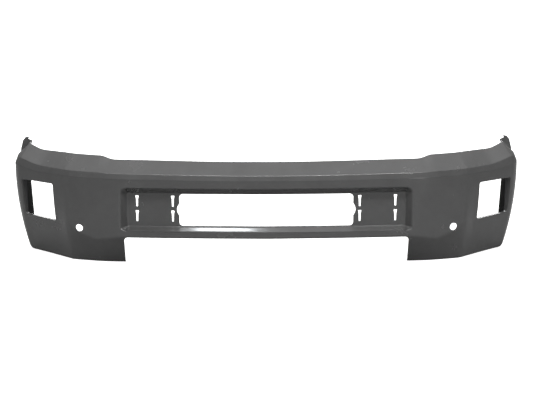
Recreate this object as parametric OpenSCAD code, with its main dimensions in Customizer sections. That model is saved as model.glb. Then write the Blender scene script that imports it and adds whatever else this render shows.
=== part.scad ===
// Front bumper face bar of a full-size pickup, with the pieces welded and bolted to its back.
// +X is the vehicle's left, -Y is the front, +Z is up.
// The origin is under the middle of the bar's box, on the surface that the wings stand on.

/* [Steel] */
// Thickness of the face bar
bar_t = 2.5; // [1.5:0.1:4]
// Thickness of the welded brackets
bracket_t = 5; // [3:0.5:8]
// Thickness of the light strips at the ends and lamps
strip_t = 3; // [2:0.5:4]
// Gap left between pieces that lie against each other
seat_gap = 0.3; // [0.1:0.1:1]

/* [Section] */
// Height of the fold between top and front at the middle
fold_z = 341; // [335:1:350]
// How much higher that fold is on the wings
fold_rise = 5; // [0:1:10]
// Size of the small facet that softens the fold
fold_cut = 12; // [6:1:16]
// Height of the top's rear edge at the middle
top_z = 400; // [388:1:404]
// How much higher the rear edge is on the wings
top_rise = 15; // [0:1:24]
// Depth of the sloped top
top_d = 64; // [50:1:80]
// Height of the flange turned down at the top's rear edge
top_flange = 18; // [10:1:30]
// Depth of the flange turned in under the wings
bottom_flange = 18; // [10:1:30]
// Height of the middle beam's lower edge
beam_z = 106; // [100:1:108]

/* [Pocket] */
// Depth of the pocket's floor behind the front face
pocket_d = 35; // [20:1:45]
// Distance from the middle to the pocket's outer edge, along the bar
pocket_half = 564; // [556:1:570]
// Width of the pocket's sloped end walls
pocket_wall = 24; // [15:1:30]
// Height of the pocket's upper edge
pocket_top = 300; // [296:1:305]
// Height of the top of the pocket's floor
floor_top = 276; // [274:1:280]
// Height of the bottom of the pocket's floor
floor_bottom = 145; // [141:1:146]
// Height of the pocket's lower edge
pocket_bottom = 132; // [128:1:136]

/* [Openings] */
// Half the width of the air opening
air_half = 334; // [320:1:340]
// Height of the air opening's lower edge
air_bottom = 149; // [147:1:155]
// Height of the air opening's upper edge
air_top = 273; // [265:1:273]
// Corner radius of the air opening
air_r = 14; // [5:1:25]
// How far the scallop bulges out of each end of the air opening
scallop = 9; // [4:1:12]
// Distance from the middle to the inner column of keyholes
key_in = 359; // [350:1:365]
// Distance from the middle to the outer column of keyholes
key_out = 497; // [490:1:510]
// Heights of the keyholes' lower ends
key_z = [165, 223]; // [160:1:224]
// Height of one keyhole
key_h = 43; // [40:1:48]
// Width of a keyhole's head
key_head = 12.6; // [10:0.2:16]
// Width of a keyhole's slot
key_slot = 6.4; // [5:0.2:8]
// Distance from the middle to the wings' inner edges
wing_in = 547; // [540:1:552]
// Radius of the corner where the wing meets the middle beam
wing_r = 14; // [8:1:20]
// Distance from the middle to a sensor hole
sensor_x = 725; // [715:1:735]
// Height of the sensor holes
sensor_z = 134; // [130:1:145]
// Radius of a sensor hole
sensor_r = 14.5; // [12:0.5:16]
// Length of the lamp opening along the bar
lamp_w = 188; // [170:1:192]
// Heights of the lamp opening's inner side
lamp_in_z = [147, 293]; // [140:1:295]
// Heights of the lamp opening's outer side
lamp_out_z = [150, 292]; // [140:1:295]
// How far the lamp opening's top is shifted outward
lamp_slant = 1; // [0:1:15]
// Corner radius of the lamp opening
lamp_r = 8; // [3:1:12]

/* [Frame brackets] */
// Distance from the middle to a bracket's centre
bracket_x = 428; // [425:1:430]
// Width of a bracket between the outsides of its side walls
bracket_w = 84; // [80:1:86]
// Width of each flange that is welded to the face bar
bracket_foot = 18; // [12:1:20]
// Height of a bracket's lower edge
bracket_z = 161; // [155:1:175]
// Height of a bracket
bracket_h = 140; // [130:1:142]
// Distance from the bar's front to a bracket's rear face
bracket_back = 215; // [180:1:240]
// Radius of a bracket's bolt holes
bolt_r = 7.5; // [5:0.5:8.5]
// Spacing of the bolt holes across the vehicle
bolt_dx = 46; // [40:1:50]
// Spacing of the bolt holes in height
bolt_dz = 100; // [80:5:105]

/* [Hidden] */

coat = "#4a4b4c";
raw_steel = "#8d9093";
zinc = "#b9b39a";

// The fold seen from above, from the middle outwards, after a first slope of prow:
// arcs of [length, turn in degrees]
prow = 1.5;
ARCS = [
    [330, 2.5], [210, 2.5], [60, 5], [90, 12], [80, 3.5], [42, 15], [48, 0], [208, 0], [52, 38], [58, 10]
];
lamp_arc = 7;

// Heading and place at the start of arc k
function heading_at(k) = k == 0 ? prow : heading_at(k - 1) + ARCS[k - 1][1];
function along_arc(h, turn, len) = turn == 0
    ? len * [cos(h), sin(h)]
    : len * 180 / (PI * turn) * [sin(h + turn) - sin(h), cos(h) - cos(h + turn)];
function place_at(k) = k == 0
    ? [0, 0]
    : place_at(k - 1) + along_arc(heading_at(k - 1), ARCS[k - 1][1], ARCS[k - 1][0]);
function length_to(k) = k == 0 ? 0 : length_to(k - 1) + ARCS[k - 1][0];
half_length = length_to(len(ARCS));
STARTS = [for (k = [0:len(ARCS) - 1]) [length_to(k), heading_at(k), place_at(k)]];
function arc_of(s) = max([for (k = [0:len(ARCS) - 1]) if (STARTS[k][0] <= s) k]);

// Heading and place of the fold at the distance s along it, for s >= 0
function heading(s, k = undef) = let (j = is_undef(k) ? arc_of(s) : k)
    STARTS[j][1] + ARCS[j][1] * (s - STARTS[j][0]) / ARCS[j][0];
function place(s) = let (j = arc_of(s), part = s - STARTS[j][0])
    STARTS[j][2] + along_arc(STARTS[j][1], ARCS[j][1] * part / ARCS[j][0], part);
// A point d behind the fold at s and height z, on either half of the bar
function at(s, d, z) = let (a = abs(s), h = a == 0 ? 0 : heading(a), p = place(a) + d * [-sin(h), cos(h)])
    [s < 0 ? -p[0] : p[0], p[1], z];
// The distance along the fold at which a line d behind it reaches x
function s_at(x, d, lo = 0, hi = half_length, n = 24) = n == 0
    ? (lo + hi) / 2
    : let (mid = (lo + hi) / 2)
        at(mid, d, 0)[0] < x ? s_at(x, d, mid, hi, n - 1) : s_at(x, d, lo, mid, n - 1);
// The depth at x of a line d behind the fold
function depth(x, d) = at(s_at(x, d), d, 0)[1];

function smooth(t) = let (c = min(max(t, 0), 1)) c * c * (3 - 2 * c);
function between(s, a, b) = smooth((s - a) / (b - a));

// Heights that change along the bar
function fold_at(s) = fold_z + fold_rise * between(s, 100, 700) + 22 * between(s, 940, 1140);
function cut_at(s) = fold_cut * (1 + 0.4 * between(s, 850, 1130));
function horn_at(s) = 18 * pow(min(max(s - 985, 0) / 85, 1), 1.7);
function crown_at(s) = 5 * between(s, 100, 570);
function top_at(s) = top_z + crown_at(s) + top_rise * between(s, 595, 668)
    - 4 * between(s, 800, 1020) + horn_at(s);
// The lower fold of the wings, and how far the metal tucks in below it
LOWER_FOLD = [[564, 109], [662, 93], [740, 118], [790, 150], [870, 150], [1178, 165]];
TUCK = [[564, 50], [680, 40], [790, 28], [830, 32], [960, 46], [1040, 52], [1178, 52]];
function lower_fold(s) = lookup(s, LOWER_FOLD);
// Below that fold the wings' inner parts lean in straight,
// and from the lamps outwards the whole face leans in along a curve
function lean(s, z) = let (
        w = between(s, 770, 860),
        low = lower_fold(s),
        facet = max(low - z, 0) / low,
        curve = pow(max(fold_z - z, 0) / fold_z, 2))
    lookup(s, TUCK) * ((1 - w) * facet + w * curve);
// The lower edge curves up into the rear corner of each wrap
function bottom_at(s) = 34 * pow(max(s - 1055, 0) / 120, 1.3);
function floor_d(s) = pocket_d * min(max((pocket_half - s) / pocket_wall, 0), 1);

// Heights of the rows across the front face: the pocket's own in the middle, spread evenly on the wings
SPREAD = [0.82, 0.58, 0.34, 0.16];
function row_z(s, k, z) = let (w = between(s, 570, 700), low = lower_fold(s))
    (1 - w) * z + w * (low + SPREAD[k] * (pocket_top - low));
function face_point(s, k, z) = let (h = row_z(s, k, z)) [lean(s, h), h];

// One section of the face bar, from the top flange's edge to the bottom flange's edge,
// as points [depth, height]
function section(s) = let (
        f = fold_at(s),
        cut = cut_at(s),
        top = top_at(s),
        slope = (top - f) / top_d,
        low = lower_fold(s),
        bottom = bottom_at(s)) [
    [top_d + 2, top - top_flange],
    [top_d, top],
    [cut * 0.7, f + slope * cut * 0.7],
    [lean(s, f - cut), f - cut],
    [lean(s, pocket_top), pocket_top],
    face_point(s, 0, floor_top) + [floor_d(s), 0],
    face_point(s, 1, 210) + [floor_d(s), 0],
    face_point(s, 2, floor_bottom) + [floor_d(s), 0],
    face_point(s, 3, pocket_bottom),
    [lean(s, low), low],
    [lean(s, low / 2), low / 2],
    [lean(s, bottom), bottom],
    [lean(s, bottom) + bottom_flange, bottom]
];

HALF = [
    90, 180, 260, 340, 420, 490, pocket_half - pocket_wall, pocket_half, 600, 630, 662, 700,
    740, 770, 790, 812, 840, 870, 920, 985, 1020, 1050, 1080, 1099, 1117, 1139, 1159, half_length
];
STATIONS = concat([for (k = [len(HALF) - 1:-1:0]) -HALF[k]], [0], HALF);

// A closed sheet of thickness t behind a grid of points, rows by columns
function unit(v) = v / norm(v);
function sheet_normal(g, j, i) = let (
        rows = len(g), cols = len(g[0]),
        across = g[j][min(i + 1, cols - 1)] - g[j][max(i - 1, 0)],
        before = j > 0 ? unit(cross(g[j][i] - g[j - 1][i], across)) : [0, 0, 0],
        after = j < rows - 1 ? unit(cross(g[j + 1][i] - g[j][i], across)) : [0, 0, 0],
        sum = before + after,
        n = unit(sum),
        ref = norm(after) > 0 ? after : before)
    n / max(n * ref, 0.5);
function edge_loop(rows, cols) = concat(
    [for (i = [0:cols - 1]) i],
    [for (j = [1:rows - 1]) j * cols + cols - 1],
    [for (i = [cols - 2:-1:0]) (rows - 1) * cols + i],
    [for (j = [rows - 2:-1:1]) j * cols]);
module sheet(g, t) {
    rows = len(g);
    cols = len(g[0]);
    count = rows * cols;
    front = [for (j = [0:rows - 1]) for (i = [0:cols - 1]) g[j][i]];
    back = [for (j = [0:rows - 1]) for (i = [0:cols - 1]) g[j][i] - t * sheet_normal(g, j, i)];
    loop = edge_loop(rows, cols);
    turns = len(loop);
    polyhedron(concat(back, front), concat(
        [for (j = [0:rows - 2]) for (i = [0:cols - 2]) let (a = j * cols + i)
            each [[a, a + cols + 1, a + 1], [a, a + cols, a + cols + 1]]],
        [for (j = [0:rows - 2]) for (i = [0:cols - 2]) let (a = count + j * cols + i)
            each [[a, a + 1, a + cols + 1], [a, a + cols + 1, a + cols]]],
        [for (k = [0:turns - 1]) let (a = loop[k], b = loop[(k + 1) % turns])
            each [[a, b, b + count], [a, b + count, a + count]]]), convexity = 10);
}

// A closed bar: the same outline of points at every station
module swept(rings) {
    n = len(rings[0]);
    last = len(rings) - 1;
    polyhedron([for (r = rings) each r], concat(
        [[for (k = [0:n - 1]) k]],
        [for (i = [0:last - 1]) for (k = [0:n - 1]) let (a = i * n + k, b = i * n + (k + 1) % n)
            each [[a, a + n, b + n], [a, b + n, b]]],
        [[for (k = [n - 1:-1:0]) last * n + k]]), convexity = 8);
}

// A polygon with its corners rounded by radius r
function rounded(pts, r, steps = 5) = let (n = len(pts)) [
    for (i = [0:n - 1]) let (
            p = pts[i],
            a = unit(pts[(i + n - 1) % n] - p),
            b = unit(pts[(i + 1) % n] - p),
            half = acos(a * b) / 2,
            c = p + unit(a + b) * r / sin(half),
            from = p + a * r / tan(half) - c,
            to = p + b * r / tan(half) - c)
        for (k = [0:steps]) let (v = from * (1 - k / steps) + to * (k / steps)) c + unit(v) * r
];

// The outline of a bent plate of thickness t along a path; r is the inner radius of its bends
function bend(a, p, b, r, steps = 5) = let (
        u = unit(a - p),
        v = unit(b - p),
        half = acos(u * v) / 2,
        c = p + unit(u + v) * r / sin(half),
        from = p + u * r / tan(half) - c,
        to = p + v * r / tan(half) - c)
    [for (k = [0:steps]) c + unit(from * (1 - k / steps) + to * (k / steps)) * r];
function across(v) = [-v[1], v[0]];
function beside(path, off) = let (last = len(path) - 1) [
    for (i = [0:last]) let (
            u = unit(path[max(i, 1)] - path[max(i, 1) - 1]),
            v = unit(path[min(i, last - 1) + 1] - path[min(i, last - 1)]),
            n = unit(across(u) + across(v)))
        path[i] + off / (n * across(u)) * n
];
function plate_side(path, off, t, r) = let (p = beside(path, off), last = len(path) - 1) [
    p[0],
    for (i = [1:last - 1]) let (turn = cross(p[i] - p[i - 1], p[i + 1] - p[i]))
        each bend(p[i - 1], p[i], p[i + 1], turn * off > 0 ? r : r + t),
    p[last]
];
function reversed(v) = [for (i = [len(v) - 1:-1:0]) v[i]];
function plate(path, t, r) = concat(plate_side(path, t / 2, t, r), reversed(plate_side(path, -t / 2, t, r)));

// Outlines are drawn in X and Z and run through the bar along Y
module through(y0, y1) {
    translate([0, y1, 0])
        rotate([90, 0, 0])
            linear_extrude(y1 - y0)
                children();
}

// Puts a shape on the plane of the left lamp: X along the bar, Y into it, Z up,
// with the middle of the opening at x = 0
lamp_start = STARTS[lamp_arc];
lamp_mid = 108;
module on_lamp() {
    translate([
        lamp_start[2][0] + lamp_mid * cos(lamp_start[1]),
        lamp_start[2][1] + lamp_mid * sin(lamp_start[1]),
        0
    ])
        rotate([0, 0, lamp_start[1]])
            children();
}
function lamp_outline(grow) = let (h = lamp_w / 2 + grow, s = lamp_slant / 2) [
    [-h - s, lamp_in_z[0] - grow],
    [h - s, lamp_out_z[0] - grow],
    [h + s, lamp_out_z[1] + grow],
    [-h + s, lamp_in_z[1] + grow]
];

module both_sides() {
    children();
    mirror([1, 0, 0])
        children();
}

// The bar's own depth, from the prow to the heads of the end bolts
bar_end = place(half_length)[1];
end_head = 5;
tab_gap = 0.8;
full_depth = bar_end + tab_gap + strip_t + end_head;
module centred() {
    translate([0, -full_depth / 2, 0])
        children();
}

module air_opening() {
    w = air_half;
    mid = (air_bottom + air_top) / 2 + 1;
    bulge_r = 34;
    polygon(rounded([[-w, air_bottom], [w, air_bottom], [w, air_top], [-w, air_top]], air_r));
    for (side = [-1, 1])
        translate([side * (w + scallop - bulge_r), mid])
            circle(r = bulge_r, $fn = 96);
}

module keyhole() {
    n = key_slot / 2;
    w = key_head / 2;
    polygon([
        [-n + 0.6, 0], [n - 0.6, 0], [n, 1.5], [n + 0.8, key_h - 14], [w - 0.4, key_h - 5],
        [w, key_h - 1], [w - 1, key_h], [1 - w, key_h], [-w, key_h - 1], [0.4 - w, key_h - 5],
        [-n - 0.8, key_h - 14], [-n, 1.5]
    ]);
}

module face_bar() {
    grid = [for (j = [0:len(section(0)) - 1])
        [for (s = STATIONS) let (p = section(abs(s))[j]) at(s, p[0], p[1])]];
    color(coat)
        centred()
            difference() {
                sheet(grid, bar_t);
                through(-20, 150)
                    air_opening();
                through(-20, 220)
                    polygon(concat([[-wing_in, -20], [wing_in, -20]],
                        [for (a = [0:15:90])
                            [wing_in - wing_r + wing_r * cos(a), beam_z - wing_r + wing_r * sin(a)]],
                        [for (a = [90:15:180])
                            [wing_r - wing_in + wing_r * cos(a), beam_z - wing_r + wing_r * sin(a)]]));
                both_sides() {
                    for (x = [key_in, key_out])
                        for (z = key_z)
                            through(20, 120)
                                translate([x, z])
                                    keyhole();
                    translate([sensor_x, 20, sensor_z])
                        rotate([-90, 0, 0])
                            cylinder(r = sensor_r, h = 150, $fn = 64);
                    on_lamp()
                        through(-30, 60)
                            polygon(rounded(lamp_outline(0), lamp_r));
                }
            }
}

// Rails run behind the middle of the bar, bent to its curve
rail_reach = 520;
module rail(outline) {
    stations = [for (s = [-rail_reach:65:rail_reach]) s];
    swept([for (s = stations) [for (p = outline) at(s, p[0], p[1])]]);
}

module upper_rail() {
    front = bar_t + seat_gap;
    back = 44;
    low = 304;
    high = 329;
    t = 2.5;
    color(raw_steel)
        centred()
            rail([
                [front, low], [back, low], [back, low + t], [front + t, low + t],
                [front + t, high - t], [back, high - t], [back, high], [front, high]
            ]);
}

module lower_rail() {
    front = bar_t + seat_gap;
    back = 46;
    t = 2.5;
    low = 110.5;
    high = 130;
    color(raw_steel)
        centred()
            rail([
                [front, low], [back, low], [back, high], [back - t, high],
                [back - t, low + t], [front + t, low + t], [front + t, high], [front, high]
            ]);
}

// Inner radius of the brackets' bends
bend_r = 4;
// Depth at x of the back of the pocket's floor, where the brackets' flanges sit
function floor_back(x) = depth(x, pocket_d + bar_t + seat_gap);

module frame_bracket() {
    a = bracket_x - bracket_w / 2;
    b = bracket_x + bracket_w / 2;
    t = bracket_t;
    y = bracket_back;
    h = t / 2;
    difference() {
        translate([0, 0, bracket_z])
            linear_extrude(bracket_h)
                polygon(plate([
                    [a - bracket_foot, floor_back(a - bracket_foot) + h], [a + h, floor_back(a + h) + h],
                    [a + h, y - h], [b - h, y - h],
                    [b - h, floor_back(b - h) + h], [b + bracket_foot, floor_back(b + bracket_foot) + h]
                ], t, bend_r));
        for (i = [-0.5, 0.5])
            for (k = [-0.5, 0.5])
                translate([bracket_x + i * bolt_dx, y - t - 1, bracket_z + bracket_h / 2 + k * bolt_dz])
                    rotate([-90, 0, 0])
                        cylinder(r = bolt_r, h = t + 2, $fn = 48);
    }
}
module frame_bracket_left() {
    color(coat)
        centred()
            frame_bracket();
}
module frame_bracket_right() {
    color(coat)
        centred()
            mirror([1, 0, 0])
                frame_bracket();
}

// A cross plate that keeps a bracket's side walls apart
gusset_gap = seat_gap;
module bracket_gusset() {
    a = bracket_x - bracket_w / 2 + bracket_t + gusset_gap;
    b = bracket_x + bracket_w / 2 - bracket_t - gusset_gap;
    y = bracket_back - bracket_t - gusset_gap;
    c = bend_r + 1;
    mid = (a + b) / 2;
    difference() {
        translate([0, 0, bracket_z + bracket_h / 2 - strip_t / 2])
            linear_extrude(strip_t)
                polygon([
                    [a, floor_back(a) + 6], [b, floor_back(b) + 6],
                    [b, y - c], [b - c, y], [a + c, y], [a, y - c]
                ]);
        translate([mid, (floor_back(mid) + y) / 2, bracket_z])
            cylinder(r = 22, h = bracket_h, $fn = 64);
    }
}
module bracket_gusset_left() {
    color(coat)
        centred()
            bracket_gusset();
}
module bracket_gusset_right() {
    color(coat)
        centred()
            mirror([1, 0, 0])
                bracket_gusset();
}

// A bent strap from the bracket's outer wall to the back of the wing
strut_z = 268;
strut_h = 30;
module wing_strut() {
    t = bracket_t;
    x0 = bracket_x + bracket_w / 2 + seat_gap + t / 2;
    x1 = 690;
    x2 = 748;
    seat = bar_t + 2 * seat_gap + t / 2;
    y0 = bracket_back - 20;
    translate([0, 0, strut_z])
        linear_extrude(strut_h)
            polygon(plate(
                [[x0, y0], [x0, y0 - 40], [x1, depth(x1, seat)], [x2, depth(x2, seat)]], t, bend_r));
}
module wing_strut_left() {
    color(coat)
        centred()
            wing_strut();
}
module wing_strut_right() {
    color(coat)
        centred()
            mirror([1, 0, 0])
                wing_strut();
}

// A frame behind the lamp opening: a sleeve that lines it and a flange with studs for the lamp
lamp_front = 20;
lamp_flange_y = 28;
lamp_rim = 12;
module lamp_frame() {
    difference() {
        union() {
            through(lamp_front, lamp_flange_y + strip_t)
                polygon(rounded(lamp_outline(strip_t), lamp_r + strip_t));
            through(lamp_flange_y, lamp_flange_y + strip_t)
                polygon(rounded(lamp_outline(lamp_rim), lamp_r + 8));
        }
        through(0, 60)
            polygon(rounded(lamp_outline(0.6), lamp_r));
    }
}
module lamp_frame_left() {
    color(coat)
        centred()
            on_lamp()
                lamp_frame();
}
module lamp_frame_right() {
    color(coat)
        centred()
            mirror([1, 0, 0])
                on_lamp()
                    lamp_frame();
}

stud_r = 3;
stud_len = 18;
module lamp_frame_studs() {
    color(zinc)
        centred()
            both_sides()
                on_lamp()
                    for (i = [-0.36, 0.36])
                        for (z = [lamp_in_z[0] - lamp_rim + 6.5, lamp_in_z[1] + lamp_rim - 6.5])
                            translate([i * lamp_w, lamp_flange_y + strip_t, z])
                                rotate([-90, 0, 0])
                                    cylinder(r = stud_r, h = stud_len, $fn = 32);
}

// A ring behind each sensor hole, with both ends cut to the slope of the bar
ring_out = 19;
ring_len = 6;
ring_gap = 1.5;
module sensor_ring() {
    seat = bar_t + seat_gap + ring_gap;
    slope = heading(s_at(sensor_x, seat));
    translate([sensor_x, depth(sensor_x, seat), sensor_z])
        difference() {
            translate([0, -20, 0])
                rotate([-90, 0, 0])
                    difference() {
                        cylinder(r = ring_out, h = 46, $fn = 96);
                        translate([0, 0, -1])
                            cylinder(r = sensor_r, h = 48, $fn = 96);
                    }
            rotate([0, 0, slope])
                for (y = [-60, ring_len])
                    translate([-60, y, -60])
                        cube([120, 60, 120]);
        }
}
module sensor_ring_left() {
    color(coat)
        centred()
            sensor_ring();
}
module sensor_ring_right() {
    color(coat)
        centred()
            mirror([1, 0, 0])
                sensor_ring();
}

// Inside the end of each wrap: a strip that lies on the side, and a plate turned inward at the rear
end_wide = 42;
end_in = 24;
end_levels = [44, 90, 160, 230, 290, 322];
end_seat = bar_t + seat_gap;
plate_gap = 1;
module end_strip() {
    s1 = half_length - strip_t - seat_gap;
    s0 = half_length - end_wide;
    swept([for (z = end_levels)
        let (e = lean(s0, z) + end_seat + seat_gap, d = lean(s1, z) + end_seat + seat_gap)
        [at(s0, e, z), at(s0, e + strip_t, z), at(s1, d + strip_t, z), at(s1, d, z)]]);
}
module end_plate() {
    difference() {
        through(bar_end - strip_t, bar_end)
            polygon(concat(
                [for (z = end_levels) [end_x(z) - plate_gap, z]],
                [for (z = reversed(end_levels)) [end_x(z) - plate_gap - end_in, z]]));
        end_bolt_holes(bar_end - 20, 40);
    }
}
end_bolt_r = 4;
end_bolt_z = [106, 306];
end_bolt_in = 22;
function end_x(z) = at(half_length, lean(half_length, z) + bar_t, z)[0];
module end_bolt_holes(y, len) {
    for (z = end_bolt_z)
        translate([end_x(z) - end_bolt_in, y, z])
            rotate([-90, 0, 0])
                cylinder(r = end_bolt_r + 0.3, h = len, $fn = 40);
}
module end_strip_left() {
    color(coat)
        centred()
            end_strip();
}
module end_strip_right() {
    color(coat)
        centred()
            mirror([1, 0, 0])
                end_strip();
}
module end_plate_left() {
    color(coat)
        centred()
            end_plate();
}
module end_plate_right() {
    color(coat)
        centred()
            mirror([1, 0, 0])
                end_plate();
}

// A plate on the back of the end plate, whose tip stands above the bar's rear corner
module end_tab() {
    y = bar_end + tab_gap;
    difference() {
        through(y, y + strip_t)
            polygon([
                [end_x(90) - 6, 90], [end_x(320) - 2, 320], [996, 360], [989, 402], [981, 432], [970, 445],
                [955, 447], [959, 438], [942, 431], [949, 411], [956, 322], [end_x(90) - 38, 90]
            ]);
        end_bolt_holes(y - 2, strip_t + 4);
    }
}
module end_tab_left() {
    color(coat)
        centred()
            end_tab();
}
module end_tab_right() {
    color(coat)
        centred()
            mirror([1, 0, 0])
                end_tab();
}

module end_bolts() {
    y = bar_end + tab_gap + strip_t;
    color(zinc)
        centred()
            both_sides()
                for (z = end_bolt_z)
                    translate([end_x(z) - end_bolt_in, y, z])
                        rotate([-90, 0, 0]) {
                            cylinder(r = 7.5, h = end_head, $fn = 6);
                            translate([0, 0, -16])
                                cylinder(r = end_bolt_r, h = 17, $fn = 40);
                        }
}

module end_nuts() {
    color(zinc)
        centred()
            both_sides()
                for (z = end_bolt_z)
                    translate([end_x(z) - end_bolt_in, bar_end - strip_t - 7.6, z])
                        rotate([-90, 0, 0])
                            difference() {
                                cylinder(r = 7.5, h = 6.5, $fn = 6);
                                translate([0, 0, -1])
                                    cylinder(r = end_bolt_r + 0.1, h = 9, $fn = 40);
                            }
}

// A small plate on the flange under each wing's inner end, for the lower valance
valance_r = 4.5;
valance_x = 572;
module valance_bracket() {
    y0 = depth(wing_in, lean(wing_in, 0)) + 6;
    difference() {
        translate([0, 0, bar_t + seat_gap])
            linear_extrude(strip_t)
                polygon([
                    [wing_in + 6, y0], [600, y0 + 8], [600, y0 + 52], [560, y0 + 52], [wing_in + 6, y0 + 34]
                ]);
        translate([valance_x, y0 + 34, 0])
            cylinder(r = valance_r, h = 10, $fn = 40);
    }
}
module valance_bracket_left() {
    color(coat)
        centred()
            valance_bracket();
}
module valance_bracket_right() {
    color(coat)
        centred()
            mirror([1, 0, 0])
                valance_bracket();
}

module valance_clip_nuts() {
    y0 = depth(wing_in, lean(wing_in, 0)) + 40;
    z = bar_t + 2 * seat_gap + strip_t;
    color(zinc)
        centred()
            both_sides()
                difference() {
                    translate([valance_x, y0, z])
                        cylinder(r = 8, h = 7, $fn = 6);
                    translate([valance_x, y0, z - 1])
                        cylinder(r = valance_r, h = 10, $fn = 40);
                }
}

face_bar();
upper_rail();
lower_rail();
frame_bracket_left();
frame_bracket_right();
bracket_gusset_left();
bracket_gusset_right();
wing_strut_left();
wing_strut_right();
lamp_frame_left();
lamp_frame_right();
lamp_frame_studs();
sensor_ring_left();
sensor_ring_right();
end_strip_left();
end_strip_right();
end_plate_left();
end_plate_right();
end_tab_left();
end_tab_right();
end_bolts();
end_nuts();
valance_bracket_left();
valance_bracket_right();
valance_clip_nuts();
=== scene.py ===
import math

import bmesh
import bpy
import numpy as np
from mathutils import Matrix, Vector


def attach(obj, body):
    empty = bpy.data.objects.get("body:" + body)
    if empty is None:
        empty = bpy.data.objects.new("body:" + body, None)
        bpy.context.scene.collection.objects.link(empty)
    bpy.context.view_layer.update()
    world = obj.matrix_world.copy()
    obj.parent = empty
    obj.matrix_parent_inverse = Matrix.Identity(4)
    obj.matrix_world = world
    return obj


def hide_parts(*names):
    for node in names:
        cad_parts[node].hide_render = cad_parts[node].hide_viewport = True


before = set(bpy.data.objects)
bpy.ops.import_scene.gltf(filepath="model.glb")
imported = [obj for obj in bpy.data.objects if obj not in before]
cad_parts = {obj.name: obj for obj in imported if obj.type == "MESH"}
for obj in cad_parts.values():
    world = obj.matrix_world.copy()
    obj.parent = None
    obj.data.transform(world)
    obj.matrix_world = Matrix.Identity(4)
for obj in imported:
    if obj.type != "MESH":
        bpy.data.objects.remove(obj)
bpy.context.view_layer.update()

# ---------------------------------------------------------------- the bar's shape, in mm, prow at Y = 0
PROW = 1.5
ARCS = [(330, 2.5), (210, 2.5), (60, 5), (90, 12), (80, 3.5), (42, 15), (48, 0), (208, 0), (52, 38), (58, 10)]
LAMP_ARC = 7
SHEET = 2.5


def run(heading, turn, length):
    """End of an arc that starts at the origin with this heading and turns by turn degrees."""
    a, b = math.radians(heading), math.radians(heading + turn)
    if turn == 0:
        return length * math.cos(a), length * math.sin(a)
    k = length / math.radians(turn)
    return k * (math.sin(b) - math.sin(a)), k * (math.cos(a) - math.cos(b))


STARTS = []
_s, _h, _x, _y = 0.0, PROW, 0.0, 0.0
for _len, _turn in ARCS:
    STARTS.append((_s, _h, _x, _y, _len, _turn))
    _dx, _dy = run(_h, _turn, _len)
    _s, _h, _x, _y = _s + _len, _h + _turn, _x + _dx, _y + _dy
HALF_LENGTH, BAR_END = _s, _y
TAB_Y = BAR_END + 0.8
DEPTH = TAB_Y + 3 + 5


def plan(s):
    """Place and heading of the fold at the distance s from the middle, s >= 0."""
    for start in reversed(STARTS):
        if start[0] <= s + 1e-9:
            break
    s0, h0, x0, y0, length, turn = start
    part = s - s0
    t = turn * part / length
    dx, dy = run(h0, t, part)
    return x0 + dx, y0 + dy, h0 + t


def at(s, d, z):
    """A point d behind the fold, in metres in the shared frame."""
    a = abs(s)
    x, y, h = plan(a)
    if a < 1e-6:
        h = 0
    h = math.radians(h)
    x, y = x - d * math.sin(h), y + d * math.cos(h)
    return Vector((math.copysign(1, s) * x / 1000, (y - DEPTH / 2) / 1000, z / 1000))


def smooth(t):
    t = min(max(t, 0), 1)
    return t * t * (3 - 2 * t)


def between(s, a, b):
    return smooth((s - a) / (b - a))


def lookup(s, table):
    return float(np.interp(s, [p[0] for p in table], [p[1] for p in table]))


FOLD_Z, FOLD_CUT, TOP_D, TOP_Z = 341, 12, 64, 400
LOWER_FOLD = [(564, 109), (662, 93), (740, 118), (790, 150), (870, 150), (1178, 165)]
TUCK = [(564, 50), (680, 40), (790, 28), (830, 32), (960, 46), (1040, 52), (1178, 52)]


def fold_at(s):
    return FOLD_Z + 5 * between(s, 100, 700) + 22 * between(s, 940, 1140)


def cut_at(s):
    return FOLD_CUT * (1 + 0.4 * between(s, 850, 1130))


def top_at(s):
    horn = min(max(s - 985, 0) / 85, 1)
    crown = 5 * between(s, 100, 570)
    return TOP_Z + crown + 15 * between(s, 595, 668) - 4 * between(s, 800, 1020) + 18 * horn ** 1.7


def bottom_at(s):
    return 34 * max(s - 1055, 0) ** 1.3 / 120 ** 1.3


def soft_max(t, w):
    """max(t, 0) with its corner rounded over 2 w."""
    if t < -w:
        return 0.0
    if t > w:
        return t
    return (t + w) ** 2 / (4 * w)


def lean(s, z):
    low = lookup(s, LOWER_FOLD)
    w = between(s, 770, 860)
    tuck = lookup(s, TUCK)
    facet = tuck * soft_max(low - z, 7) / low
    wrap = tuck * (max(FOLD_Z - z, 0) / FOLD_Z) ** 2
    return (1 - w) * facet + w * wrap


# the pocket in the middle: its rim, the width of its sloped walls and its depth
POCKET_HALF, POCKET_LOW, POCKET_TOP = 564, 132, 300
WALL_SIDE, WALL_TOP, WALL_LOW, POCKET_D = 24, 24, 13, 35
CORNER = 1.15


def pocket(s, z):
    side = (POCKET_HALF - s) / WALL_SIDE
    up = min((POCKET_TOP - z) / WALL_TOP, (z - POCKET_LOW) / WALL_LOW)
    if side < CORNER and up < CORNER:
        t = CORNER - math.hypot(CORNER - side, CORNER - up)
    else:
        t = min(side, up)
    return POCKET_D * (soft_max(t, 0.16) - soft_max(t - 1, 0.16))


def arc_points(a, corner, b, radius, steps):
    """Rounds the corner of the path a-corner-b; always gives steps + 1 points."""
    u, v = (a - corner).normalized(), (b - corner).normalized()
    half = u.angle(v) / 2
    reach = radius / math.tan(half)
    centre = corner + (u + v).normalized() * (radius / math.sin(half))
    p, q = corner + u * reach - centre, corner + v * reach - centre
    out = []
    for k in range(steps + 1):
        w = p.lerp(q, k / steps)
        out.append(centre + w.normalized() * radius)
    return out


def spread(a, b, step):
    n = max(1, round(abs(b - a) / step))
    return [a + (b - a) * k / n for k in range(n)]


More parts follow.
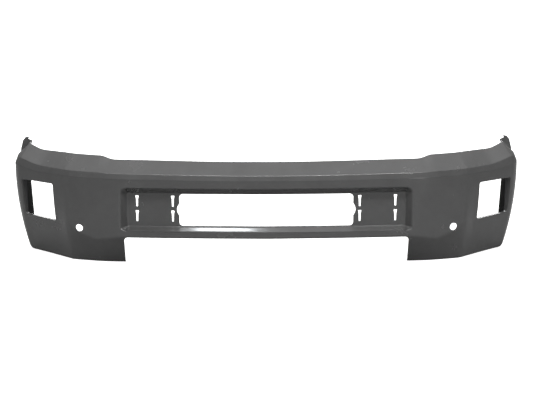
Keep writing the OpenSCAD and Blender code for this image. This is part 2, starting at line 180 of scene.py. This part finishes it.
# heights of the lower fold and of the lowest row, at the middle of the bar
LOW_FOLD_Z, FOOT_Z = 109, 6
# heights of the rows across the front at the middle of the bar, from below the fold down to the lower edge
FRONT = (
    spread(322, 306, 5) + spread(306, 294, 1.7) + spread(294, 281, 4) + spread(281, 271, 1.7)
    + spread(271, 150, 6) + spread(150, 140, 1.4) + spread(140, 137, 1.5) + spread(137, 128, 1.4)
    + spread(128, 118, 4) + spread(118, 98, 2.5) + spread(98, FOOT_Z, 6) + [FOOT_Z]
)


def front_height(s, z):
    """The rows bend so that one of them follows the lower fold of the wings."""
    w = between(s, 566, 620)
    low = lookup(s, LOWER_FOLD)
    bottom = bottom_at(s)
    top = POCKET_TOP
    if z > LOW_FOLD_Z:
        moved = low + (z - LOW_FOLD_Z) * (top - low) / (top - LOW_FOLD_Z) if z < top else z
    else:
        moved = bottom + FOOT_Z + (z - FOOT_Z) * (low - bottom - FOOT_Z) / (LOW_FOLD_Z - FOOT_Z)
    return (1 - w) * z + w * moved


# height of the fold's main wave, and how far from the fold the waves reach
RIPPLE, RIPPLE_REACH = 0.5, 9


def ripple(s):
    """Faint waves that the press leaves in the fold above the wings."""
    fade = between(s, 600, 680) * (1 - between(s, 880, 960))
    return RIPPLE * fade * (math.sin(s / 4.1) + 0.7 * math.sin(s / 6.7 + 1))


# both flanges' width, and the radii of their edges and of the two fillets at the fold
FLANGE, EDGE_R, FOLD_R = 18, 4, 8


def section(s):
    """Outer surface from the top flange's edge to the bottom flange's edge, as (depth, height)."""
    f, cut, top, bottom = fold_at(s), cut_at(s), top_at(s), bottom_at(s)
    slope = (top - f) / TOP_D
    end = between(s, 880, 1120)
    tip = Vector((TOP_D + 1.5, top - FLANGE))
    rear = Vector((TOP_D, top))
    upper = Vector((cut * 0.7, f + slope * cut * 0.7))
    lower = Vector((lean(s, f - cut), f - cut))
    front = Vector((lean(s, front_height(s, FRONT[0])), front_height(s, FRONT[0])))
    pts = [tip.lerp(rear, k / 3) for k in range(2)]
    pts += arc_points(tip, rear, upper, EDGE_R, 5)
    a, b = pts[-1], upper
    pts += [a.lerp(b, k / 9) for k in range(1, 9)]
    fold_r = FOLD_R + 3 * end
    pts += arc_points(rear, upper, lower, fold_r, 6)
    pts += arc_points(upper, lower, front, fold_r, 6)
    wave = ripple(s)
    pts = [p + Vector((0, wave * max(0, 1 - (p - upper).length / RIPPLE_REACH))) for p in pts]
    for z in FRONT:
        h = front_height(s, z)
        pts.append(Vector((lean(s, h) + pocket(s, h), h)))
    foot = Vector((lean(s, bottom), bottom))
    tail = foot + Vector((FLANGE, 0))
    pts += arc_points(pts[-1], foot, tail, EDGE_R, 5)
    pts += [pts[-1].lerp(tail, k / 3) for k in range(1, 4)]
    return pts


def columns():
    half = (
        spread(0, 320, 16) + spread(320, 526, 10.3) + spread(526, 574, 2) + spread(574, 600, 6.5)
        + spread(600, 960, 4) + spread(960, 1068, 9) + spread(1068, HALF_LENGTH, 4)
        + [HALF_LENGTH]
    )
    return [-s for s in reversed(half[1:])] + half


def grid_sheet(grid, thickness):
    """A closed sheet behind a grid of points; the grid is the outer face."""
    g = np.array([[tuple(p) for p in row] for row in grid])
    du = np.empty_like(g)
    dv = np.empty_like(g)
    du[:, 1:-1] = g[:, 2:] - g[:, :-2]
    du[:, 0], du[:, -1] = g[:, 1] - g[:, 0], g[:, -1] - g[:, -2]
    dv[1:-1] = g[2:] - g[:-2]
    dv[0], dv[-1] = g[1] - g[0], g[-1] - g[-2]
    n = np.cross(dv, du)
    n /= np.linalg.norm(n, axis=2, keepdims=True)
    back = g - thickness * n
    rows, cols = g.shape[:2]
    verts = np.concatenate([g.reshape(-1, 3), back.reshape(-1, 3)])
    count = rows * cols
    faces = []
    for j in range(rows - 1):
        for i in range(cols - 1):
            a = j * cols + i
            faces.append((a, a + cols, a + cols + 1, a + 1))
            faces.append((count + a, count + a + 1, count + a + cols + 1, count + a + cols))
    loop = (
        [i for i in range(cols)] + [j * cols + cols - 1 for j in range(1, rows)]
        + [(rows - 1) * cols + i for i in range(cols - 2, -1, -1)]
        + [j * cols for j in range(rows - 2, 0, -1)]
    )
    for k, a in enumerate(loop):
        b = loop[(k + 1) % len(loop)]
        faces.append((a, b, b + count, a + count))
    return verts.tolist(), faces


def new_mesh(name, verts, faces):
    mesh = bpy.data.meshes.new(name)
    mesh.from_pydata(verts, [], faces)
    mesh.validate()
    obj = bpy.data.objects.new(name, mesh)
    bpy.context.collection.objects.link(obj)
    return obj


def recalc(obj):
    bm = bmesh.new()
    bm.from_mesh(obj.data)
    bmesh.ops.recalc_face_normals(bm, faces=bm.faces)
    bm.to_mesh(obj.data)
    bm.free()


def apply_modifiers(obj):
    dg = bpy.context.evaluated_depsgraph_get()
    mesh = bpy.data.meshes.new_from_object(obj.evaluated_get(dg), depsgraph=dg)
    obj.modifiers.clear()
    old = obj.data
    obj.data = mesh
    bpy.data.meshes.remove(old)


# ---------------------------------------------------------------- cutters
def rounded(pts, r, steps=6):
    out = []
    n = len(pts)
    for i in range(n):
        a, p, b = Vector(pts[i - 1]), Vector(pts[i]), Vector(pts[(i + 1) % n])
        out += arc_points(a, p, b, r, steps)
    return out


def prism(verts, faces, outline, to_world, y0, y1):
    """Adds a prism to verts and faces: outline holds (x, z) in mm, to_world places a point (x, y, z)."""
    n = len(outline)
    base = len(verts)
    area = sum(outline[i - 1][0] * outline[i][1] - outline[i][0] * outline[i - 1][1] for i in range(n))
    ring = list(outline) if area > 0 else list(reversed(outline))
    for y in (y0, y1):
        for p in ring:
            verts.append(tuple(to_world(p[0], y, p[1])))
    faces.append([base + i for i in range(n)])
    faces.append([base + n + i for i in reversed(range(n))])
    for i in range(n):
        j = (i + 1) % n
        faces.append([base + i, base + n + i, base + n + j, base + j])


def straight(x, y, z):
    return x / 1000, (y - DEPTH / 2) / 1000, z / 1000


LAMP_W, LAMP_MID, LAMP_R = 188, 108, 8
LAMP_IN_Z, LAMP_OUT_Z, LAMP_SLANT = (147, 293), (150, 292), 1


def lamp_plane(side):
    s0, h0, x0, y0 = STARTS[LAMP_ARC][:4]
    h = math.radians(h0)

    def place(x, y, z):
        u = LAMP_MID + x
        return (
            side * (x0 + u * math.cos(h) - y * math.sin(h)) / 1000,
            (y0 + u * math.sin(h) + y * math.cos(h) - DEPTH / 2) / 1000,
            z / 1000,
        )

    return place


def lamp_outline(grow):
    h, s = LAMP_W / 2 + grow, LAMP_SLANT / 2
    return [
        (-h - s, LAMP_IN_Z[0] - grow), (h - s, LAMP_OUT_Z[0] - grow),
        (h + s, LAMP_OUT_Z[1] + grow), (-h + s, LAMP_IN_Z[1] + grow),
    ]


def circle(cx, cz, r, n):
    turns = [2 * math.pi * k / n for k in range(n)]
    return [(cx + r * math.cos(a), cz + r * math.sin(a)) for a in turns]


AIR_HALF, AIR_LOW, AIR_TOP, AIR_R = 334, 149, 273, 14
WING_IN, WING_R, BEAM_Z = 547, 14, 106


def air_outline():
    """The opening's rounded rectangle with a shallow round bulge in the middle of each end."""
    mid, bulge_r, reach = (AIR_LOW + AIR_TOP) / 2 + 1, 34, 9
    half = math.acos((bulge_r - reach) / bulge_r)
    right = []
    for k in range(9):
        t = -half + 2 * half * k / 8
        right.append((AIR_HALF + reach - bulge_r + bulge_r * math.cos(t), mid + bulge_r * math.sin(t)))
    corners = [(-AIR_HALF, AIR_LOW), (AIR_HALF, AIR_LOW), (AIR_HALF, AIR_TOP), (-AIR_HALF, AIR_TOP)]
    box = rounded(corners, AIR_R)
    q = len(box) // 4
    left = [(-x, z) for x, z in reversed(right)]
    return [tuple(p) for p in box[:2 * q]] + right + [tuple(p) for p in box[2 * q:]] + left


# places and sizes of the keyholes and sensor holes, on either side of the middle
KEY_X, KEY_Z, KEY_H = (359, 497), (165, 223), 43
SENSOR_X, SENSOR_Z, SENSOR_R = 725, 134, 14.5


def keyhole(cx, z0):
    n, w, h = 3.2, 6.3, KEY_H
    side = [
        (n - 0.6, 0), (n - 0.1, 0.4), (n, 1.5), (n + 0.8, h - 14), (w - 0.4, h - 5), (w, h - 3), (w, h - 1.6),
        (w - 0.5, h - 0.5), (w - 1.6, h),
    ]
    return [(cx + x, z0 + z) for x, z in side] + [(cx - x, z0 + z) for x, z in reversed(side)]


def cutter():
    verts, faces = [], []
    prism(verts, faces, air_outline(), straight, -20, 120)
    gap = [(-WING_IN, -20), (WING_IN, -20)]
    for k in range(9):
        a = math.pi / 2 * k / 8
        gap.append((WING_IN - WING_R + WING_R * math.cos(a), BEAM_Z - WING_R + WING_R * math.sin(a)))
    for k in range(9):
        a = math.pi / 2 * (1 + k / 8)
        gap.append((WING_R - WING_IN + WING_R * math.cos(a), BEAM_Z - WING_R + WING_R * math.sin(a)))
    prism(verts, faces, gap, straight, -20, 220)
    for side in (1, -1):
        for x in KEY_X:
            for z in KEY_Z:
                prism(verts, faces, keyhole(side * x, z), straight, 20, 120)
        prism(verts, faces, circle(side * SENSOR_X, SENSOR_Z, SENSOR_R, 48), straight, 20, 170)
        prism(verts, faces, rounded(lamp_outline(LIP_R), LAMP_R + LIP_R), lamp_plane(side), -30, 60)
    obj = new_mesh("cutter", verts, faces)
    recalc(obj)
    return obj


# ---------------------------------------------------------------- the turned-in lip of a lamp opening
LIP_R, LIP_LEN = 3.2, 14


def face_depth(u, z):
    """How far the bar's face is behind the lamp's plane, at u along the plane from its middle."""
    s = STARTS[LAMP_ARC][0] + LAMP_MID + u
    return lean(s, z)


def lamp_lip(side):
    outline = rounded(lamp_outline(LIP_R), LAMP_R + LIP_R, 8)
    inner = rounded(lamp_outline(0), LAMP_R, 8)
    fine_o, fine_i = [], []
    n = len(outline)
    for i in range(n):
        j = (i + 1) % n
        a, b = outline[i], outline[j]
        steps = max(1, round((b - a).length / 9))
        for k in range(steps):
            fine_o.append(a.lerp(b, k / steps))
            fine_i.append(inner[i].lerp(inner[j], k / steps))
    place = lamp_plane(side)
    rings = []
    steps = 5
    for o, i in zip(fine_o, fine_i):
        d = face_depth(o.x, o.y)
        out = (i - o) / LIP_R
        profile = []
        for k in range(steps + 1):
            a = math.pi / 2 * k / steps
            profile.append((LIP_R * math.sin(a), LIP_R * (1 - math.cos(a))))
        profile.append((LIP_R, LIP_R + LIP_LEN * 0.5))
        profile.append((LIP_R, LIP_R + LIP_LEN - 0.5))
        profile.append((LIP_R - 0.5, LIP_R + LIP_LEN))
        profile.append((LIP_R - SHEET + 0.5, LIP_R + LIP_LEN))
        profile.append((LIP_R - SHEET, LIP_R + LIP_LEN - 0.5))
        small = LIP_R - SHEET
        for k in range(steps + 1):
            a = math.pi / 2 * (1 - k / steps)
            profile.append((small * math.sin(a), LIP_R - small * math.cos(a)))
        rings.append([place(o.x + out.x * w, d + v, o.y + out.y * w) for w, v in profile])
    m, count = len(rings[0]), len(rings)
    verts = [p for r in rings for p in r]
    faces = []
    for i in range(count):
        j = (i + 1) % count
        for k in range(m):
            q = (k + 1) % m
            faces.append((i * m + k, i * m + q, j * m + q, j * m + k))
    obj = new_mesh("lip", verts, faces)
    recalc(obj)
    return obj


def join(target, others):
    bm = bmesh.new()
    bm.from_mesh(target.data)
    for o in others:
        bm.from_mesh(o.data)
    bm.to_mesh(target.data)
    bm.free()
    for o in others:
        mesh = o.data
        bpy.data.objects.remove(o)
        bpy.data.meshes.remove(mesh)


def build_face_bar():
    cols = columns()
    sections = {abs(s): section(abs(s)) for s in cols}
    rows = len(sections[0])
    grid = [[at(s, sections[abs(s)][j].x, sections[abs(s)][j].y) for s in cols] for j in range(rows)]
    verts, faces = grid_sheet(grid, SHEET / 1000)
    bar = new_mesh("face_bar_skin", verts, faces)
    recalc(bar)
    cut = cutter()
    mod = bar.modifiers.new("cut", "BOOLEAN")
    mod.operation = "DIFFERENCE"
    mod.object = cut
    mod.solver = "MANIFOLD"
    apply_modifiers(bar)
    mesh = cut.data
    bpy.data.objects.remove(cut)
    bpy.data.meshes.remove(mesh)
    join(bar, [lamp_lip(1), lamp_lip(-1)])
    shade(bar, 32)
    return bar


def shade(obj, angle):
    bpy.ops.object.select_all(action="DESELECT")
    obj.select_set(True)
    bpy.context.view_layer.objects.active = obj
    bpy.ops.object.shade_smooth_by_angle(angle=math.radians(angle))
    mod = obj.modifiers.new("weighted", "WEIGHTED_NORMAL")
    mod.keep_sharp = True
    mod.weight = 60


# ---------------------------------------------------------------- materials
def shader(name):
    mat = bpy.data.materials.new(name)
    mat.use_nodes = True
    nodes, links = mat.node_tree.nodes, mat.node_tree.links
    nodes.clear()
    out = nodes.new("ShaderNodeOutputMaterial")
    bsdf = nodes.new("ShaderNodeBsdfPrincipled")
    links.new(bsdf.outputs["BSDF"], out.inputs["Surface"])
    return mat, nodes, links, bsdf


def noise(nodes, links, coords, scale, detail=4, rough=0.55, stretch=None):
    if stretch:
        m = nodes.new("ShaderNodeMapping")
        m.inputs["Scale"].default_value = stretch
        links.new(coords, m.inputs["Vector"])
        coords = m.outputs["Vector"]
    n = nodes.new("ShaderNodeTexNoise")
    n.inputs["Scale"].default_value = scale
    n.inputs["Detail"].default_value = detail
    n.inputs["Roughness"].default_value = rough
    links.new(coords, n.inputs["Vector"])
    return n.outputs["Fac"]


def ramp(nodes, links, fac, a, b, low=0.3, high=0.7):
    r = nodes.new("ShaderNodeMapRange")
    r.inputs["From Min"].default_value = low
    r.inputs["From Max"].default_value = high
    r.inputs["To Min"].default_value = a
    r.inputs["To Max"].default_value = b
    links.new(fac, r.inputs["Value"])
    return r.outputs["Result"]


def mix_colour(nodes, links, fac, a, b):
    m = nodes.new("ShaderNodeMix")
    m.data_type = "RGBA"
    m.inputs["A"].default_value = (*a, 1)
    m.inputs["B"].default_value = (*b, 1)
    links.new(fac, m.inputs["Factor"])
    return m.outputs["Result"]


def bump(nodes, links, height, strength, distance, under=None):
    b = nodes.new("ShaderNodeBump")
    b.inputs["Strength"].default_value = strength
    b.inputs["Distance"].default_value = distance
    links.new(height, b.inputs["Height"])
    if under:
        links.new(under, b.inputs["Normal"])
    return b.outputs["Normal"]


def paint(name, dark, light, rough, peel, coat):
    """Semi-gloss coat on steel: faint cloudiness, orange peel and fine dust specks."""
    mat, nodes, links, bsdf = shader(name)
    coords = nodes.new("ShaderNodeTexCoord").outputs["Object"]
    cloud = noise(nodes, links, coords, 9, 5, 0.6)
    fine = noise(nodes, links, coords, 240, 3, 0.5)
    colour = mix_colour(nodes, links, ramp(nodes, links, cloud, 0, 1), dark, light)
    links.new(colour, bsdf.inputs["Base Color"])
    links.new(ramp(nodes, links, cloud, rough - 0.035, rough + 0.045), bsdf.inputs["Roughness"])
    normal = bump(nodes, links, noise(nodes, links, coords, 420, 2, 0.45), peel, 0.0004)
    normal = bump(nodes, links, fine, peel * 0.6, 0.0006, normal)
    links.new(normal, bsdf.inputs["Normal"])
    bsdf.inputs["Specular IOR Level"].default_value = 0.5
    bsdf.inputs["Coat Weight"].default_value = coat
    bsdf.inputs["Coat Roughness"].default_value = 0.10
    return mat


def plated(name):
    """Zinc-plated steel with a faint warm cast and fine drawing marks."""
    mat, nodes, links, bsdf = shader(name)
    coords = nodes.new("ShaderNodeTexCoord").outputs["Object"]
    cloud = noise(nodes, links, coords, 60, 4)
    blend = ramp(nodes, links, cloud, 0, 1)
    colour = mix_colour(nodes, links, blend, (0.42, 0.40, 0.33), (0.62, 0.60, 0.52))
    links.new(colour, bsdf.inputs["Base Color"])
    links.new(ramp(nodes, links, cloud, 0.28, 0.45), bsdf.inputs["Roughness"])
    links.new(bump(nodes, links, noise(nodes, links, coords, 900, 2), 0.15, 0.0002), bsdf.inputs["Normal"])
    bsdf.inputs["Metallic"].default_value = 1
    return mat


def rolled(name):
    """Coated roll-formed steel: long faint streaks along the bar."""
    mat, nodes, links, bsdf = shader(name)
    coords = nodes.new("ShaderNodeTexCoord").outputs["Object"]
    streak = noise(nodes, links, coords, 60, 5, 0.6, (0.06, 1, 1))
    cloud = noise(nodes, links, coords, 12, 4)
    blend = ramp(nodes, links, streak, 0, 1)
    colour = mix_colour(nodes, links, blend, (0.045, 0.046, 0.048), (0.075, 0.076, 0.078))
    links.new(colour, bsdf.inputs["Base Color"])
    links.new(ramp(nodes, links, cloud, 0.38, 0.52), bsdf.inputs["Roughness"])
    links.new(bump(nodes, links, streak, 0.12, 0.0004), bsdf.inputs["Normal"])
    return mat


bar_coat = paint("bar_coat", (0.052, 0.052, 0.052), (0.062, 0.062, 0.062), 0.24, 0.06, 0.4)
bracket_coat = paint("bracket_coat", (0.036, 0.037, 0.039), (0.050, 0.051, 0.053), 0.46, 0.22, 0.0)
rail_coat = rolled("rail_coat")
zinc = plated("zinc_plate")

for name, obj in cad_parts.items():
    if name in ("upper_rail", "lower_rail"):
        mat = rail_coat
    elif name in ("lamp_frame_studs", "end_bolts", "end_nuts", "valance_clip_nuts"):
        mat = zinc
    elif name.startswith("end_tab"):
        mat = bar_coat
    else:
        mat = bracket_coat
    obj.data.materials.clear()
    obj.data.materials.append(mat)

bar = build_face_bar()
bar.data.materials.clear()
bar.data.materials.append(bar_coat)
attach(bar, "root")
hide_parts("face_bar")

# ---------------------------------------------------------------- floor, light and camera
def floor_material():
    """The camera sees a pale floor. Its bounce colour is painted: painted shade behind the bar's middle,
    painted light ahead and aside.
    """
    mat, nodes, links, bsdf = shader("floor_pale")
    bsdf.inputs["Base Color"].default_value = (0.86, 0.86, 0.86, 1)
    bsdf.inputs["Roughness"].default_value = 0.9
    bsdf.inputs["Specular IOR Level"].default_value = 0.1
    bsdf.inputs["Emission Color"].default_value = (1, 1, 1, 1)
    bsdf.inputs["Emission Strength"].default_value = 0.62
    # painted shade and light in the floor's bounce colour: darker behind the bar's middle, brighter ahead of
    # it and to its sides
    painted_bounce = nodes.new("ShaderNodeBsdfDiffuse")
    split = nodes.new("ShaderNodeSeparateXYZ")
    links.new(nodes.new("ShaderNodeTexCoord").outputs["Object"], split.inputs["Vector"])
    ahead = ramp(nodes, links, split.outputs["Y"], 1, 0, -0.32, -0.08)
    width = nodes.new("ShaderNodeMath")
    width.operation = "ABSOLUTE"
    links.new(split.outputs["X"], width.inputs[0])
    aside = ramp(nodes, links, width.outputs["Value"], 0, 0.75, 0.40, 0.65)
    lit = nodes.new("ShaderNodeMath")
    lit.operation = "MAXIMUM"
    links.new(ahead, lit.inputs[0])
    links.new(aside, lit.inputs[1])
    links.new(ramp(nodes, links, lit.outputs["Value"], 0.10, 0.47, 0, 1), painted_bounce.inputs["Color"])
    path = nodes.new("ShaderNodeLightPath")
    mix = nodes.new("ShaderNodeMixShader")
    out = next(n for n in nodes if n.type == "OUTPUT_MATERIAL")
    links.new(path.outputs["Is Camera Ray"], mix.inputs["Fac"])
    links.new(painted_bounce.outputs["BSDF"], mix.inputs[1])
    links.new(bsdf.outputs["BSDF"], mix.inputs[2])
    links.new(mix.outputs["Shader"], out.inputs["Surface"])
    return mat


floor = new_mesh("floor", [(-40, -30, 0), (40, -30, 0), (40, 60, 0), (-40, 60, 0)], [(0, 1, 2, 3)])
floor.location.z = -0.0005
floor.data.materials.append(floor_material())

# strength of the dome at the horizon and overhead
DOME = (0.30, 0.95)


def studio_world():
    """The camera sees plain white; everything else is lit by a soft dome, brighter overhead."""
    world = bpy.data.worlds.new("studio")
    bpy.context.scene.world = world
    world.use_nodes = True
    nodes, links = world.node_tree.nodes, world.node_tree.links
    nodes.clear()
    out = nodes.new("ShaderNodeOutputWorld")
    coords = nodes.new("ShaderNodeTexCoord").outputs["Generated"]
    split = nodes.new("ShaderNodeSeparateXYZ")
    links.new(coords, split.inputs["Vector"])
    height = nodes.new("ShaderNodeMapRange")
    height.interpolation_type = "SMOOTHSTEP"
    height.inputs["From Min"].default_value = 0.0
    height.inputs["From Max"].default_value = 0.95
    height.inputs["To Min"].default_value = DOME[0]
    height.inputs["To Max"].default_value = DOME[1]
    links.new(split.outputs["Z"], height.inputs["Value"])
    dome = nodes.new("ShaderNodeBackground")
    links.new(height.outputs["Result"], dome.inputs["Strength"])
    white = nodes.new("ShaderNodeBackground")
    path = nodes.new("ShaderNodeLightPath")
    mix = nodes.new("ShaderNodeMixShader")
    links.new(path.outputs["Is Camera Ray"], mix.inputs["Fac"])
    links.new(dome.outputs["Background"], mix.inputs[1])
    links.new(white.outputs["Background"], mix.inputs[2])
    links.new(mix.outputs["Shader"], out.inputs["Surface"])


studio_world()


def softbox(name, place, target, size, power, tint=(1, 1, 1)):
    data = bpy.data.lights.new(name, "AREA")
    data.shape = "RECTANGLE"
    data.size, data.size_y = size
    data.energy = power
    data.color = tint
    obj = bpy.data.objects.new(name, data)
    obj.location = place
    obj.rotation_euler = (Vector(target) - Vector(place)).to_track_quat("-Z", "Y").to_euler()
    bpy.context.collection.objects.link(obj)


softbox("overhead", (0, 0.1, 3.6), (0, 0, 0.2), (9.0, 4.0), 62)
softbox("front_box", (0, -1.9, 3.7), (0, 0, 0.2), (5.0, 0.9), 52)
softbox("fold_strip", (0.25, -1.55, 2.4), (0, -0.15, 0.35), (2.2, 0.05), 30)
softbox("sill_box", (-0.30, 1.70, 2.55), (-0.15, -0.17, 0.14), (0.34, 0.22), 7, (0.93, 0.97, 1))
softbox("right_strip", (2.2, -3.4, 0.9), (-0.9, 0, 0.2), (0.5, 1.2), 12)
softbox("back_box", (0, 4.5, 2.0), (0, 0, 0.2), (5.0, 1.2), 150)

cam_data = bpy.data.cameras.new("camera")
cam = bpy.data.objects.new("camera", cam_data)
bpy.context.collection.objects.link(cam)
# the camera's elevation and roll, its distance and the height it looks at in metres, and its lens in mm
ELEVATION, ROLL = math.radians(11), math.radians(-0.19)
DISTANCE, AIM_Z = 6.0, 0.2
SENSOR_WIDTH, LENS = 36, 106.325
SHIFT_X, SHIFT_Y = 0.0004, 0.0281
cam.location = (0, -DEPTH / 2000 - DISTANCE * math.cos(ELEVATION), AIM_Z + DISTANCE * math.sin(ELEVATION))
view_turn = Matrix.Rotation(math.radians(90) - ELEVATION, 3, "X") @ Matrix.Rotation(ROLL, 3, "Z")
cam.rotation_euler = view_turn.to_euler()
cam_data.sensor_width = SENSOR_WIDTH
cam_data.lens = LENS
cam_data.shift_x, cam_data.shift_y = SHIFT_X, SHIFT_Y
bpy.context.scene.camera = cam

view = bpy.context.scene.view_settings
view.view_transform = "Standard"
view.look = "None"
